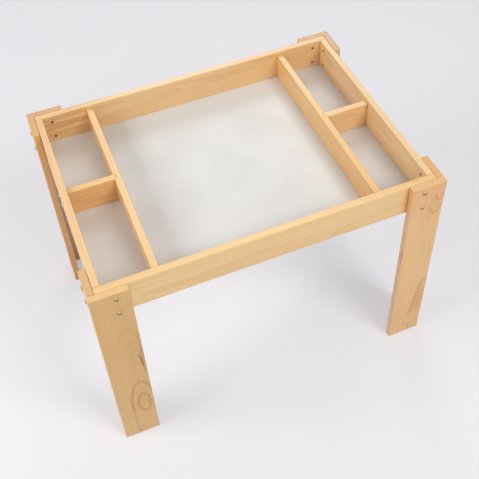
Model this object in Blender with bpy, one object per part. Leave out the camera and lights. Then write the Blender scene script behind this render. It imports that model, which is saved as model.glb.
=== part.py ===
# Sensory table for brick play: a pine tray with four bins and a white floor, on four L-shaped legs.
# X runs along the table, -Y is the front and +Z is up. The origin is on the floor under the tray's middle.

import math

import bmesh
import bpy
from mathutils import Matrix, Vector

MM = 0.001

# Overall size, over the leg boards
TABLE_LENGTH = 760 * MM
TABLE_WIDTH = 562 * MM
TABLE_HEIGHT = 535 * MM

# Boards
LEG_THICKNESS = 15 * MM
LEG_FACE_WIDTH = 80 * MM
LEG_SIDE_WIDTH = 65 * MM
RAIL_THICKNESS = 15 * MM
RAIL_HEIGHT = 80 * MM
DIVIDER_THICKNESS = 15 * MM
EASED_EDGE = 1.6 * MM
EASED_EDGE_STEPS = 3

# How far the end rails stand in from the legs' side boards
END_RAIL_SET_IN = 0.6 * MM

# Dividers: how far their tops lie below the rim, where they stand and how deep their ends are housed
DIVIDER_DROP = 10 * MM
LONG_DIVIDER_OFFSET = 240 * MM
LEFT_CROSS_OFFSET = 19 * MM
RIGHT_CROSS_OFFSET = 11 * MM
HOUSING_DEPTH = 5 * MM

# Floor panel, in a rebate along the rails' lower inner edges
PANEL_THICKNESS = 4 * MM
PANEL_EASED_EDGE = 0.4 * MM
REBATE_WIDTH = 8 * MM

# Clearance between pieces that lie against each other
FIT_GAP = 0.3 * MM

# Leg bolts and their nuts
BOLT_DIAMETER = 6 * MM
BOLT_HEAD_DIAMETER = 11 * MM
BOLT_HEAD_HEIGHT = 3.3 * MM
BOLT_SOCKET_WIDTH = 4 * MM
BOLT_SOCKET_DEPTH = 2 * MM
BOLT_CORNER_INSET = 51 * MM
BOLT_EDGE_INSET = 18 * MM
BOLT_PAST_NUT = 1.2 * MM
NUT_WIDTH = 10 * MM
NUT_HEIGHT = 5 * MM
NUT_CHAMFER = 0.5 * MM
NUT_RECESS_DIAMETER = 12.6 * MM
NUT_RECESS_DEPTH = 8 * MM

# Wood screws through the end rails into the cross dividers, with their drops below the rim
END_SCREW_DIAMETER = 4 * MM
END_SCREW_LENGTH = 40 * MM
END_SCREW_HEAD_DIAMETER = 10 * MM
END_SCREW_HEAD_HEIGHT = 3.4 * MM
END_SCREW_DROPS = {"upper": 19 * MM, "lower": 47 * MM}

# Countersunk screws that hold the floor panel up
PANEL_SCREW_DIAMETER = 3 * MM
PANEL_SCREW_LENGTH = 16 * MM
PANEL_SCREW_HEAD_DIAMETER = 6 * MM
PANEL_SCREW_HEAD_HEIGHT = 1.8 * MM
PANEL_SCREW_SPREAD = 130 * MM

# A driver's cross slot, as shares of the screw head that it is cut in
SLOT_SPAN = 0.6
SLOT_WIDTH = 0.15
SLOT_DEPTH = 0.5

# Round shapes have this many sides, and domed heads this many steps from the middle to the edge
ROUND_STEPS = 24
DOME_STEPS = 6

# Faces that meet at less than this angle are shaded as one
SMOOTH_BELOW = math.radians(35)

# A cutter reaches this far past the face that it enters, and points this close are welded
OVERCUT = 2 * MM
WELD_DISTANCE = 0.001 * MM

# Faces and levels that several pieces share
HALF_LENGTH = TABLE_LENGTH / 2
HALF_WIDTH = TABLE_WIDTH / 2
RAIL_BOTTOM = TABLE_HEIGHT - RAIL_HEIGHT
LONG_RAIL_OUTER = HALF_WIDTH - LEG_THICKNESS - FIT_GAP
LONG_RAIL_INNER = LONG_RAIL_OUTER - RAIL_THICKNESS
LONG_RAIL_END = HALF_LENGTH - LEG_THICKNESS - FIT_GAP
END_RAIL_OUTER = HALF_LENGTH - LEG_THICKNESS - END_RAIL_SET_IN
END_RAIL_INNER = END_RAIL_OUTER - RAIL_THICKNESS
END_RAIL_END = LONG_RAIL_INNER - FIT_GAP
PANEL_TOP = RAIL_BOTTOM + PANEL_THICKNESS
DIVIDER_BOTTOM = PANEL_TOP + FIT_GAP
DIVIDER_TOP = TABLE_HEIGHT - DIVIDER_DROP
DIVIDER_BIN_FACE = LONG_DIVIDER_OFFSET + DIVIDER_THICKNESS / 2
HOUSING_HALF = DIVIDER_THICKNESS / 2 + FIT_GAP
BOLT_LEVELS = {"upper": TABLE_HEIGHT - BOLT_EDGE_INSET, "lower": RAIL_BOTTOM + BOLT_EDGE_INSET}

# The sign of the axis on which each end and each face of the table lies
ENDS = {"left": -1, "right": 1}
FACES = {"front": -1, "back": 1}
CROSS_OFFSETS = {"left": LEFT_CROSS_OFFSET, "right": RIGHT_CROSS_OFFSET}

# Turns that point an object's own +Z out of one side of the table
OUTWARD = {
    "front": Matrix.Rotation(math.radians(90), 4, "X"),
    "back": Matrix.Rotation(math.radians(-90), 4, "X"),
    "left": Matrix.Rotation(math.radians(-90), 4, "Y"),
    "right": Matrix.Rotation(math.radians(90), 4, "Y"),
    "below": Matrix.Rotation(math.radians(180), 4, "X"),
}

# Distance from a leg board's outer face in to the rail's inner face behind it
STACK = {
    "front": HALF_WIDTH - LONG_RAIL_INNER,
    "back": HALF_WIDTH - LONG_RAIL_INNER,
    "left": HALF_LENGTH - END_RAIL_INNER,
    "right": HALF_LENGTH - END_RAIL_INNER,
}

# Finishes: colour, roughness and metallic value
RAIL_PINE = ((0.74, 0.50, 0.26, 1), 0.55, 0.0)
LEG_PINE = ((0.68, 0.43, 0.21, 1), 0.55, 0.0)
DIVIDER_PINE = ((0.76, 0.53, 0.29, 1), 0.55, 0.0)
PANEL_WHITE = ((0.82, 0.82, 0.80, 1), 0.40, 0.0)
BOLT_ZINC = ((0.55, 0.57, 0.60, 1), 0.35, 1.0)
NUT_ZINC = ((0.30, 0.29, 0.27, 1), 0.45, 1.0)
SCREW_ZINC = ((0.75, 0.76, 0.78, 1), 0.30, 1.0)


def new_object(name, mesh, placement):
    """An object in the scene, at a placement."""
    obj = bpy.data.objects.new(name, mesh)
    bpy.context.scene.collection.objects.link(obj)
    obj.matrix_world = placement
    return obj


def mesh_from(name, shape):
    """A mesh made of a bmesh shape, with its faces pointing out and its round parts shaded smooth."""
    bmesh.ops.recalc_face_normals(shape, faces=shape.faces)
    mesh = bpy.data.meshes.new(name)
    shape.to_mesh(mesh)
    shape.free()
    mesh.shade_smooth()
    mesh.set_sharp_from_angle(angle=SMOOTH_BELOW)
    return mesh


def block_mesh(name, size, eased=0.0):
    """A block round its own centre, with its edges eased if a radius is given."""
    shape = bmesh.new()
    bmesh.ops.create_cube(shape, size=1, matrix=Matrix.Diagonal((*size, 1)))
    if eased:
        bmesh.ops.bevel(shape, geom=shape.edges[:], offset=eased, segments=EASED_EDGE_STEPS,
                        profile=0.5, affect="EDGES")
    return mesh_from(name, shape)


def turned_mesh(name, profile):
    """A body turned about Z from (radius, height) points that start and end on the axis."""
    shape = bmesh.new()
    points = [shape.verts.new((radius, 0, height)) for radius, height in profile]
    line = [shape.edges.new(pair) for pair in zip(points, points[1:])]
    bmesh.ops.spin(shape, geom=points + line, cent=(0, 0, 0), axis=(0, 0, 1),
                   angle=math.tau, steps=ROUND_STEPS)
    bmesh.ops.remove_doubles(shape, verts=shape.verts, dist=WELD_DISTANCE)
    return mesh_from(name, shape)


def rod_mesh(name, radius, bottom, top, steps=ROUND_STEPS):
    """A straight rod along Z between two heights."""
    shape = bmesh.new()
    middle = Matrix.Translation((0, 0, (bottom + top) / 2))
    bmesh.ops.create_cone(shape, cap_ends=True, segments=steps, radius1=radius, radius2=radius,
                          depth=top - bottom, matrix=middle)
    return mesh_from(name, shape)


def hexagon_radius(width):
    """Radius of the corners of a hexagon of a given width across its flats."""
    return width / 2 / math.cos(math.radians(30))


def cutter(mesh, placement):
    """An object that only cuts others."""
    obj = new_object("cutter", mesh, placement)
    obj.hide_render = True
    obj.display_type = "WIRE"
    return obj


def box_cutter(low, high):
    """A cutter for the space between two corners, given in any order."""
    low, high = Vector(low), Vector(high)
    size = [abs(high[axis] - low[axis]) for axis in range(3)]
    return cutter(block_mesh("box", size), Matrix.Translation((low + high) / 2))


def cut(obj, cutters):
    """Cut closed shapes out of an object, keep the result as its mesh and drop the cutters."""
    for tool in cutters:
        boolean = obj.modifiers.new("cut", "BOOLEAN")
        boolean.operation = "DIFFERENCE"
        boolean.solver = "EXACT"
        boolean.object = tool
    bpy.context.view_layer.update()
    depsgraph = bpy.context.evaluated_depsgraph_get()
    result = bpy.data.meshes.new_from_object(obj.evaluated_get(depsgraph), depsgraph=depsgraph)
    obj.modifiers.clear()
    obj.data = result
    for tool in cutters:
        bpy.data.objects.remove(tool)


def coat(obj, look):
    """Give an object a Principled material of its own, with one colour, roughness and metallic value."""
    colour, roughness, metallic = look
    material = bpy.data.materials.new(obj.name + "_finish")
    material.use_nodes = True
    shader = material.node_tree.nodes["Principled BSDF"]
    shader.inputs["Base Color"].default_value = colour
    shader.inputs["Roughness"].default_value = roughness
    shader.inputs["Metallic"].default_value = metallic
    obj.data.materials.clear()
    obj.data.materials.append(material)


def board(name, low, high, look, cutters=(), eased=EASED_EDGE):
    """A board between two corners, given in any order, with its holes and grooves cut."""
    low, high = Vector(low), Vector(high)
    size = [abs(high[axis] - low[axis]) for axis in range(3)]
    obj = new_object(name, block_mesh(name, size, eased), Matrix.Translation((low + high) / 2))
    if cutters:
        cut(obj, cutters)
    coat(obj, look)
    return obj


def fastener(name, mesh, side, seat, look):
    """A bolt, nut or screw at its seat, with its own +Z pointing out of one side of the table."""
    obj = new_object(name, mesh, Matrix.Translation(seat) @ OUTWARD[side])
    if not mesh.materials:
        coat(obj, look)
    return obj


def leg_bolts(end=None, face=None, side=None):
    """Each leg bolt as (corner name, side that it enters from, level, point on the leg's outer face)."""
    found = []
    for end_name, end_sign in ENDS.items():
        for face_name, face_sign in FACES.items():
            corner = f"{face_name}_{end_name}"
            for level, height in BOLT_LEVELS.items():
                along = end_sign * (HALF_LENGTH - BOLT_CORNER_INSET)
                across = face_sign * (HALF_WIDTH - BOLT_CORNER_INSET)
                found.append((corner, face_name, level, Vector((along, face_sign * HALF_WIDTH, height))))
                found.append((corner, end_name, level, Vector((end_sign * HALF_LENGTH, across, height))))
    wanted = [part for part in (end, face) if part]
    return [bolt for bolt in found
            if all(part in bolt[0].split("_") for part in wanted) and side in (None, bolt[1])]


def bolt_hole(side, point):
    """A cutter for a leg bolt's hole through the leg board and the rail."""
    depth = STACK[side] + OVERCUT
    hole = rod_mesh("bolt_hole", BOLT_DIAMETER / 2 + FIT_GAP, -depth, OVERCUT)
    return cutter(hole, Matrix.Translation(point) @ OUTWARD[side])


def nut_recess(side, point):
    """A cutter for the round recess on the rail's inner face that holds a nut."""
    inner = -STACK[side]
    recess = rod_mesh("nut_recess", NUT_RECESS_DIAMETER / 2, inner - OVERCUT, inner + NUT_RECESS_DEPTH)
    return cutter(recess, Matrix.Translation(point) @ OUTWARD[side])


def rail_bolt_cutters(side):
    """Cutters for every bolt hole and nut recess in the rail on one side."""
    cutters = []
    for corner, bolt_side, level, point in leg_bolts(side=side):
        cutters.append(bolt_hole(side, point))
        cutters.append(nut_recess(side, point))
    return cutters


def end_screw_seats(end):
    """The points on an end rail's outer face where its screws enter."""
    along = ENDS[end] * END_RAIL_OUTER
    return {level: Vector((along, CROSS_OFFSETS[end], TABLE_HEIGHT - drop))
            for level, drop in END_SCREW_DROPS.items()}


def end_screw_holes(end):
    """Cutters for the holes of an end rail's screws, through the rail into the cross divider."""
    depth = END_SCREW_LENGTH + FIT_GAP
    hole = rod_mesh("end_screw_hole", END_SCREW_DIAMETER / 2 + FIT_GAP, -depth, OVERCUT)
    return [cutter(hole, Matrix.Translation(seat) @ OUTWARD[end]) for seat in end_screw_seats(end).values()]


def panel_screw_seats():
    """The points on the floor panel's underside where its screws enter, by the piece that they grip."""
    seats = {}
    for face, face_sign in FACES.items():
        rail_line = face_sign * (LONG_RAIL_INNER + REBATE_WIDTH / 2)
        seats[f"{face}_rail"] = Vector((0, rail_line, RAIL_BOTTOM))
        for end, end_sign in ENDS.items():
            seat = Vector((end_sign * LONG_DIVIDER_OFFSET, face_sign * PANEL_SCREW_SPREAD, RAIL_BOTTOM))
            seats[f"{end}_divider_{face}"] = seat
    return seats


def panel_screw_profile(spread=0.0):
    """A countersunk screw's outline from its head to its tip, or a wider one for its hole."""
    head = PANEL_SCREW_HEAD_DIAMETER / 2 + spread
    shank = PANEL_SCREW_DIAMETER / 2 + spread
    taper = PANEL_SCREW_DIAMETER
    tip = PANEL_SCREW_LENGTH + spread
    return [(0, spread), (head, spread), (shank, -PANEL_SCREW_HEAD_HEIGHT),
            (shank, taper - tip), (0, -tip)]


def panel_screw_holes(grips):
    """Cutters for the panel screws that grip the named pieces."""
    hole = turned_mesh("panel_screw_hole", panel_screw_profile(FIT_GAP))
    return [cutter(hole, Matrix.Translation(seat) @ OUTWARD["below"])
            for grip, seat in panel_screw_seats().items() if grip in grips]


def make_long_rails():
    """The front and back rails, with the rebate, the dividers' housings and the bolts' holes."""
    for face, sign in FACES.items():
        inner = sign * LONG_RAIL_INNER
        mouth = inner - sign * OVERCUT
        rebate_end = END_RAIL_INNER + REBATE_WIDTH
        cutters = [box_cutter((-rebate_end, mouth, RAIL_BOTTOM - OVERCUT),
                              (rebate_end, inner + sign * REBATE_WIDTH, DIVIDER_BOTTOM))]
        for end_sign in ENDS.values():
            middle = end_sign * LONG_DIVIDER_OFFSET
            cutters.append(box_cutter((middle - HOUSING_HALF, mouth, RAIL_BOTTOM),
                                      (middle + HOUSING_HALF, inner + sign * HOUSING_DEPTH,
                                       DIVIDER_TOP + FIT_GAP)))
        cutters += rail_bolt_cutters(face) + panel_screw_holes([f"{face}_rail"])
        board(f"{face}_rail", (-LONG_RAIL_END, inner, RAIL_BOTTOM),
              (LONG_RAIL_END, sign * LONG_RAIL_OUTER, TABLE_HEIGHT), RAIL_PINE, cutters)


def make_end_rails():
    """The end rails between the long rails, with the rebate and the holes of bolts and screws."""
    for end, sign in ENDS.items():
        inner = sign * END_RAIL_INNER
        cutters = [box_cutter((inner - sign * OVERCUT, -HALF_WIDTH, RAIL_BOTTOM - OVERCUT),
                              (inner + sign * REBATE_WIDTH, HALF_WIDTH, DIVIDER_BOTTOM))]
        cutters += rail_bolt_cutters(end) + end_screw_holes(end)
        board(f"{end}_end_rail", (inner, -END_RAIL_END, RAIL_BOTTOM),
              (sign * END_RAIL_OUTER, END_RAIL_END, TABLE_HEIGHT), RAIL_PINE, cutters)


def make_long_dividers():
    """The dividers from front to back, each with a housing for the end of its cross divider."""
    reach = LONG_RAIL_INNER + HOUSING_DEPTH - FIT_GAP
    for end, sign in ENDS.items():
        middle = sign * LONG_DIVIDER_OFFSET
        cross = CROSS_OFFSETS[end]
        bin_face = sign * DIVIDER_BIN_FACE
        housing = box_cutter((bin_face - sign * HOUSING_DEPTH, cross - HOUSING_HALF, RAIL_BOTTOM),
                             (bin_face + sign * OVERCUT, cross + HOUSING_HALF, TABLE_HEIGHT))
        grips = [f"{end}_divider_{face}" for face in FACES]
        board(f"{end}_long_divider", (middle - DIVIDER_THICKNESS / 2, -reach, DIVIDER_BOTTOM),
              (middle + DIVIDER_THICKNESS / 2, reach, DIVIDER_TOP), DIVIDER_PINE,
              [housing] + panel_screw_holes(grips))


def make_cross_dividers():
    """The short dividers that split each end bay into two bins."""
    for end, sign in ENDS.items():
        middle = CROSS_OFFSETS[end]
        housed_end = sign * (DIVIDER_BIN_FACE - HOUSING_DEPTH + FIT_GAP)
        screwed_end = sign * (END_RAIL_INNER - FIT_GAP)
        board(f"{end}_cross_divider", (housed_end, middle - DIVIDER_THICKNESS / 2, DIVIDER_BOTTOM),
              (screwed_end, middle + DIVIDER_THICKNESS / 2, DIVIDER_TOP), DIVIDER_PINE, end_screw_holes(end))


def make_floor_panel():
    """The thin white floor, flush with the rails' lower edges."""
    length = END_RAIL_INNER + REBATE_WIDTH - FIT_GAP
    width = LONG_RAIL_INNER + REBATE_WIDTH - FIT_GAP
    board("floor_panel", (-length, -width, RAIL_BOTTOM), (length, width, PANEL_TOP), PANEL_WHITE,
          panel_screw_holes(panel_screw_seats()), eased=PANEL_EASED_EDGE)


def make_legs():
    """The two boards of each leg, which meet at the table's corner."""
    for end, end_sign in ENDS.items():
        for face, face_sign in FACES.items():
            corner = f"{face}_{end}"
            outer_end = end_sign * HALF_LENGTH
            outer_face = face_sign * HALF_WIDTH
            face_back = outer_face - face_sign * LEG_THICKNESS
            side_start = face_back - face_sign * FIT_GAP
            holes = {side: [bolt_hole(side, point) for _, _, _, point in leg_bolts(end, face, side)]
                     for side in (end, face)}
            board(f"leg_{corner}_face", (outer_end, outer_face, 0),
                  (outer_end - end_sign * LEG_FACE_WIDTH, face_back, TABLE_HEIGHT), LEG_PINE, holes[face])
            board(f"leg_{corner}_side", (outer_end, side_start, 0),
                  (outer_end - end_sign * LEG_THICKNESS, side_start - face_sign * LEG_SIDE_WIDTH,
                   TABLE_HEIGHT), LEG_PINE, holes[end])


def driver_slots(head_diameter, head_height, head_top):
    """Cutters for the cross slot in a screw head, round the head's own axis."""
    span = head_diameter * SLOT_SPAN / 2
    half_width = head_diameter * SLOT_WIDTH / 2
    floor = head_top - head_height * SLOT_DEPTH
    return [box_cutter((-span, -half_width, floor), (span, half_width, head_top + OVERCUT)),
            box_cutter((-half_width, -span, floor), (half_width, span, head_top + OVERCUT))]


def domed_head(diameter, height, rim):
    """Outline points of a domed head, from the middle of its top to the edge of its underside."""
    rise = height - rim
    sphere = ((diameter / 2) ** 2 + rise ** 2) / (2 * rise)
    widest = math.asin(diameter / 2 / sphere)
    angles = [widest * step / DOME_STEPS for step in range(DOME_STEPS + 1)]
    dome = [(sphere * math.sin(angle), height - sphere * (1 - math.cos(angle))) for angle in angles]
    return dome + [(diameter / 2, 0)]


def cut_once(name, mesh, cutters):
    """A mesh with closed shapes cut out of it, for several fasteners to share."""
    pattern = new_object(name, mesh, Matrix.Identity(4))
    cut(pattern, cutters)
    result = pattern.data
    bpy.data.objects.remove(pattern)
    return result


def bolt_mesh(side):
    """A round-head bolt with a hexagon socket, as long as one side's boards and nut need."""
    nut_inner = STACK[side] - NUT_RECESS_DEPTH + FIT_GAP + NUT_HEIGHT
    tip = nut_inner + BOLT_PAST_NUT + FIT_GAP
    shank = BOLT_DIAMETER / 2
    chamfer = BOLT_DIAMETER / 8
    profile = domed_head(BOLT_HEAD_DIAMETER, BOLT_HEAD_HEIGHT, BOLT_HEAD_HEIGHT / 5)
    profile += [(shank, 0), (shank, chamfer - tip), (shank - chamfer, -tip), (0, -tip)]
    socket = rod_mesh("socket", hexagon_radius(BOLT_SOCKET_WIDTH), BOLT_HEAD_HEIGHT - BOLT_SOCKET_DEPTH,
                      BOLT_HEAD_HEIGHT + OVERCUT, steps=6)
    return cut_once("bolt", turned_mesh("bolt", profile), [cutter(socket, Matrix.Identity(4))])


def nut_mesh():
    """A hexagon nut that stands on its own origin."""
    shape = bmesh.new()
    radius = hexagon_radius(NUT_WIDTH)
    bmesh.ops.create_cone(shape, cap_ends=True, segments=6, radius1=radius, radius2=radius,
                          depth=NUT_HEIGHT, matrix=Matrix.Translation((0, 0, NUT_HEIGHT / 2)))
    rims = [edge for edge in shape.edges if abs(edge.verts[0].co.z - edge.verts[1].co.z) < FIT_GAP]
    bmesh.ops.bevel(shape, geom=rims, offset=NUT_CHAMFER, segments=1, affect="EDGES")
    bore = rod_mesh("bore", BOLT_DIAMETER / 2 + FIT_GAP, -OVERCUT, NUT_HEIGHT + OVERCUT)
    return cut_once("nut", mesh_from("nut", shape), [cutter(bore, Matrix.Identity(4))])


def make_bolts_and_nuts():
    """A bolt and a nut at every bolt hole of the legs."""
    bolts = {side: bolt_mesh(side) for side in STACK}
    nut = nut_mesh()
    inward = {"front": "back", "back": "front", "left": "right", "right": "left"}
    for corner, side, level, point in leg_bolts():
        board_name = "face" if side in FACES else "side"
        outward = OUTWARD[side] @ Vector((0, 0, 1))
        name = f"{corner}_{board_name}_{level}"
        fastener(f"bolt_{name}", bolts[side], side, point + outward * FIT_GAP, BOLT_ZINC)
        recess_floor = point - outward * (STACK[side] - NUT_RECESS_DEPTH + FIT_GAP)
        fastener(f"nut_{name}", nut, inward[side], recess_floor, NUT_ZINC)


def make_end_screws():
    """The dome-head screws that hold the cross dividers to the end rails."""
    shank = END_SCREW_DIAMETER / 2
    profile = domed_head(END_SCREW_HEAD_DIAMETER, END_SCREW_HEAD_HEIGHT, END_SCREW_HEAD_HEIGHT / 4)
    profile += [(shank, 0), (shank, END_SCREW_DIAMETER - END_SCREW_LENGTH), (0, FIT_GAP - END_SCREW_LENGTH)]
    slots = driver_slots(END_SCREW_HEAD_DIAMETER, END_SCREW_HEAD_HEIGHT, END_SCREW_HEAD_HEIGHT)
    screw = cut_once("end_screw", turned_mesh("end_screw", profile), slots)
    for end, sign in ENDS.items():
        for level, seat in end_screw_seats(end).items():
            seat.x += sign * FIT_GAP
            fastener(f"end_screw_{end}_{level}", screw, end, seat, SCREW_ZINC)


def make_panel_screws():
    """The countersunk screws under the floor panel."""
    slots = driver_slots(PANEL_SCREW_HEAD_DIAMETER, PANEL_SCREW_HEAD_HEIGHT, 0)
    screw = cut_once("panel_screw", turned_mesh("panel_screw", panel_screw_profile()), slots)
    for grip, seat in panel_screw_seats().items():
        fastener(f"panel_screw_{grip}", screw, "below", seat, SCREW_ZINC)


def main():
    for obj in list(bpy.data.objects):
        bpy.data.objects.remove(obj)
    make_long_rails()
    make_end_rails()
    make_long_dividers()
    make_cross_dividers()
    make_floor_panel()
    make_legs()
    make_bolts_and_nuts()
    make_end_screws()
    make_panel_screws()


main()
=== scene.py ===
"""The looks of a pine sensory table: its boards, white floor, bolts, nuts and screws, on a pale studio floor.

X runs along the table, -Y is the front and +Z is up. Everything is in metres, in the CAD model's frame.
"""

import math
from fnmatch import fnmatch
from typing import NamedTuple

import bpy
from bpy.props import FloatProperty, FloatVectorProperty, IntProperty, PointerProperty
from mathutils import Euler, Matrix, Vector


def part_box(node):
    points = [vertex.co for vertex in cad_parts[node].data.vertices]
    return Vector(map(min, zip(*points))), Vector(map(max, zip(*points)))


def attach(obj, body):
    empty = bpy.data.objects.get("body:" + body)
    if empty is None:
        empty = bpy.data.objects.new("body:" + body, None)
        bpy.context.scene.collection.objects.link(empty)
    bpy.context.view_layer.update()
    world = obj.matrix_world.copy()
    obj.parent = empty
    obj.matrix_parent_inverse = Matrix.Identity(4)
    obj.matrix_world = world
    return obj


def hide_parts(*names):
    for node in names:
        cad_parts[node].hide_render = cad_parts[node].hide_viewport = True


bl_info = {
    "name": "Pine Sensory Table",
    "version": (1, 0, 0),
    "blender": (4, 5, 0),
    "location": "3D View > Sidebar > Table",
    "description": "Builds a pine sensory table with its grain, its white floor and its plated fasteners",
    "category": "Object",
}

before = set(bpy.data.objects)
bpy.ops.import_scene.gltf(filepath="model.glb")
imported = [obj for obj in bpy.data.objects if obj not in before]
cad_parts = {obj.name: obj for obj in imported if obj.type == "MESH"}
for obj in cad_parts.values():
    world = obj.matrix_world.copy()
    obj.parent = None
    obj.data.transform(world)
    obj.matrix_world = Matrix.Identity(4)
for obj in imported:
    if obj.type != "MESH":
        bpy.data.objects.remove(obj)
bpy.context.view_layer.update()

MM = 0.001

# Gap round whatever stands in a groove or passes through a hole
FIT_GAP = 0.3 * MM

# How far a cutter runs past the faces that it cuts
OVERCUT = 2 * MM

# Points nearer to each other than this are welded
WELD = 0.005 * MM

# Faces that turn by less than this are shaded as one round surface
SMOOTH_BELOW = math.radians(32)


def colour_property(name, description, default):
    return FloatVectorProperty(name=name, description=description, subtype="COLOR", size=3, min=0, max=1,
                               default=default)


def length_property(name, description, default):
    return FloatProperty(name=name, description=description, unit="LENGTH", min=0.0001, max=0.1,
                         precision=4, default=default)


def power_property(name, description, default):
    return FloatProperty(name=name, description=description, unit="POWER", min=0, max=500, default=default)


class PineSettings(bpy.types.PropertyGroup):
    """Edges, colours and grain of the pine boards."""

    eased_edge: length_property("Eased Edge", "Radius of the boards' sanded edges", 1.6 * MM)
    edge_segments: IntProperty(name="Edge Segments", description="Faces round each sanded edge",
                               min=1, max=8, default=4)
    early_wood: colour_property("Early Wood", "Pale wood between the ring lines", (0.84, 0.575, 0.275))
    late_wood: colour_property("Late Wood", "Darker wood in the ring lines", (0.61, 0.32, 0.105))
    blush: colour_property("Blush", "Rosier wood in broad patches", (0.815, 0.505, 0.225))
    ring_line: colour_property("Ring Line", "Orange brown of the clear ring lines", (0.61, 0.285, 0.015))
    end_grain: colour_property("End Grain", "Pale wood of the sanded ends", (0.76, 0.50, 0.235))


class PanelSettings(bpy.types.PropertyGroup):
    """Finish of the tray's white floor."""

    eased_edge: length_property("Eased Edge", "Radius of the sheet's edges", 0.4 * MM)
    facing: colour_property("Facing", "White of the smooth facing", (0.69, 0.685, 0.668))
    scuffed: colour_property("Scuffed", "Tone of the facing where hands and toys rub it", (0.665, 0.66, 0.64))


class FastenerSettings(bpy.types.PropertyGroup):
    """Sizes and finish of the bolts, nuts and screws."""

    round_steps: IntProperty(name="Round Steps", description="Faces round a turned fastener",
                             min=12, max=64, default=32)
    bolt_head: length_property("Bolt Head", "Diameter of the round bolt heads", 11 * MM)
    bolt_shank: length_property("Bolt Shank", "Diameter of the bolts' thread", 6 * MM)
    socket: length_property("Socket", "Width of the hexagon socket across its flats", 4 * MM)
    nut_width: length_property("Nut Width", "Width of the nuts across their flats", 10 * MM)
    nut_recess: length_property("Nut Recess", "Diameter of the round recesses that hold the nuts", 12.6 * MM)
    recess_depth: length_property("Recess Depth", "Depth of the nuts' recesses", 8 * MM)
    bolt_zinc: colour_property("Bolt Zinc", "Plating of the bolts", (0.56, 0.43, 0.265))
    # The nuts' dark colour is painted shade, for the shadow deep in their recesses
    nut_zinc: colour_property("Nut Zinc", "Dark plating of the nuts", (0.085, 0.058, 0.030))
    screw_zinc: colour_property("Screw Zinc", "Bright plating of the wood screws", (0.66, 0.66, 0.64))


class StageSettings(bpy.types.PropertyGroup):
    """Studio floor and lamps."""

    floor: colour_property("Studio Floor", "Colour of the seamless floor", (0.845, 0.837, 0.868))
    lift: FloatProperty(name="Floor Lift", subtype="FACTOR", min=0, max=1, default=0.42,
                        description="Share of the floor's own colour that shows in any light")
    key_power: power_property("Key Lamp", "Watts of the soft lamp at the front right", 65)
    back_power: power_property("Back Lamp", "Watts of the wide lamp behind the table", 27)
    left_power: power_property("Left Lamp", "Watts of the lamp at the left", 39)
    front_power: power_property("Front Lamp", "Watts of the low, wide lamp in front", 13.5)
    room: FloatProperty(name="Room Light", description="Strength of the even light from all round",
                        min=0, max=2, default=0.33)


class TableSettings(bpy.types.PropertyGroup):
    """All that a user would change."""

    pine: PointerProperty(type=PineSettings)
    panel: PointerProperty(type=PanelSettings)
    fasteners: PointerProperty(type=FastenerSettings)
    stage: PointerProperty(type=StageSettings)


def settings():
    return bpy.context.scene.sensory_table


# Modelling

def begin():
    """Leave nothing selected, because the loaded CAD nodes are."""
    bpy.ops.object.select_all(action="DESELECT")


def add_block(low, high):
    """A block between two corners, given in any order."""
    low, high = Vector(low), Vector(high)
    size = Vector([abs(value) for value in high - low])
    begin()
    bpy.ops.mesh.primitive_cube_add(size=1, location=(low + high) / 2, scale=size)
    bpy.ops.object.transform_apply(location=True, rotation=True, scale=True)
    return bpy.context.active_object


def add_rod(axis, middle, radius, start, end, steps=None):
    """A rod along one axis between two heights on it, through a middle point."""
    place = Vector(middle)
    place[axis] = (start + end) / 2
    turn = ((0, math.pi / 2, 0), (math.pi / 2, 0, 0), (0, 0, 0))[axis]
    begin()
    bpy.ops.mesh.primitive_cylinder_add(vertices=steps or settings().fasteners.round_steps, radius=radius,
                                        depth=abs(end - start), location=place, rotation=turn)
    bpy.ops.object.transform_apply(location=True, rotation=True, scale=True)
    return bpy.context.active_object


def add_turned(outline):
    """A body turned about Z from an outline of (radius, height) points that starts and ends on the axis."""
    points = [Vector((radius, 0, height)) for radius, height in outline]
    begin()
    bpy.ops.mesh.primitive_plane_add(size=MM)
    bpy.ops.object.mode_set(mode="EDIT")
    bpy.ops.mesh.select_mode(type="VERT")
    bpy.ops.mesh.select_all(action="SELECT")
    bpy.ops.mesh.merge(type="CENTER")
    bpy.ops.transform.translate(value=points[0])
    for before, after in zip(points, points[1:]):
        bpy.ops.mesh.extrude_region_move(TRANSFORM_OT_translate={"value": after - before})
    bpy.ops.mesh.select_all(action="SELECT")
    bpy.ops.mesh.spin(steps=settings().fasteners.round_steps, angle=2 * math.pi, center=(0, 0, 0),
                      axis=(0, 0, 1))
    bpy.ops.mesh.select_all(action="SELECT")
    bpy.ops.mesh.remove_doubles(threshold=WELD)
    bpy.ops.mesh.normals_make_consistent(inside=False)
    bpy.ops.object.mode_set(mode="OBJECT")
    return bpy.context.active_object


def drop(piece):
    """Remove an object and its mesh."""
    mesh = piece.data
    bpy.data.objects.remove(piece)
    bpy.data.meshes.remove(mesh)


def combine(piece, others, operation="DIFFERENCE"):
    """Cut other solids out of a piece, or keep what it shares with them, and drop them."""
    bpy.context.view_layer.objects.active = piece
    for other in others:
        modifier = piece.modifiers.new("combine", "BOOLEAN")
        modifier.operation = operation
        modifier.object = other
        bpy.ops.object.modifier_apply(modifier=modifier.name)
        drop(other)


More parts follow.
